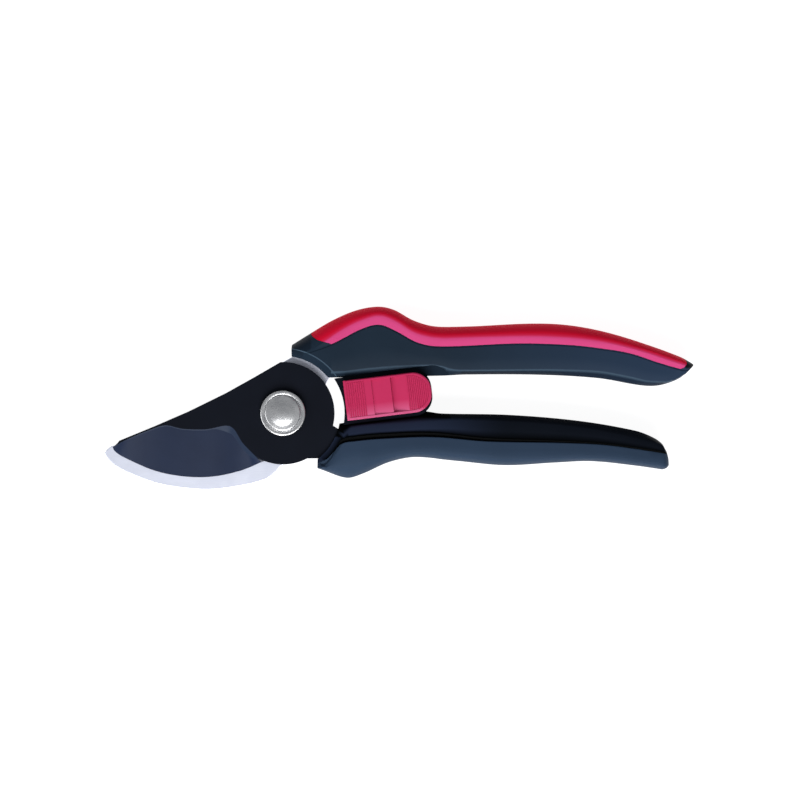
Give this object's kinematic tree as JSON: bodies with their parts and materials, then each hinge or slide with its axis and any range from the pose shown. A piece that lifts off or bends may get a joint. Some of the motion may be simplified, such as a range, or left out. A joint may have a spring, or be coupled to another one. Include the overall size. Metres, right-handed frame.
{
  "type": "pruning shears",
  "caption": "Bypass pruning shears with a coated cutting blade, a hooked counter blade, two curved handles, a coil return spring and a sliding lock.",
  "frame": {"origin": "on the pivot's axis, at the flat face under the pivot nut, which is the plane that the shears lie on", "axes": "+X along the tool from the blades to the handles' ends, +Y across it from the lower handle to the upper handle, +Z through its thickness towards the bolt head and the slide lock"},
  "size_m": [0.2046, 0.0638, 0.0188],
  "materials": {
    "blade_coating": "matt low-friction coating on steel",
    "blade_steel": "fine satin grind",
    "bolt_steel": "bright plated, slightly domed",
    "zinc_steel": "zinc plated",
    "bronze": "sintered, oiled",
    "slate_nylon": "fine moulded grain",
    "black_nylon": "fine moulded grain",
    "slate_grip": "soft-touch moulded",
    "crimson_grip": "soft-touch moulded",
    "crimson_button": "satin moulded",
    "spring_wire": "drawn spring wire"
  },
  "bodies": {
    "counter_lever": {"counter_blade": "blade_steel", "pivot_bolt": "bolt_steel", "head_washer": "zinc_steel", "spring_washer": "zinc_steel", "pivot_nut": "zinc_steel", "pivot_bushing": "bronze", "upper_handle_core": "slate_nylon", "upper_grip": "crimson_grip", "upper_front_screw": "zinc_steel", "upper_rear_screw": "zinc_steel", "upper_spring_seat": "black_nylon", "lock_base": "black_nylon", "return_spring": "spring_wire"},
    "cutting_lever": {"cutting_blade": "blade_coating", "lower_handle_core": "black_nylon", "lower_grip": "slate_grip", "lower_front_screw": "zinc_steel", "lower_rear_screw": "zinc_steel", "lower_spring_seat": "black_nylon", "lock_catch": "zinc_steel"},
    "lock": {"lock_button": "crimson_button", "lock_latch": "zinc_steel", "lock_screw": "zinc_steel", "detent_spring": "spring_wire"}
  },
  "joints": [
    {"name": "handles_open", "type": "hinge", "parent": "counter_lever", "child": "cutting_lever", "pos_m": [0, 0, 0], "axis": [0, 0, -1], "range_deg": [0, 30], "deforming": ["return_spring"]},
    {"name": "lock_slide", "type": "slide", "parent": "counter_lever", "child": "lock", "axis": [0.9925, 0.1219, 0], "range_m": [0, 0.007]}
  ]
}
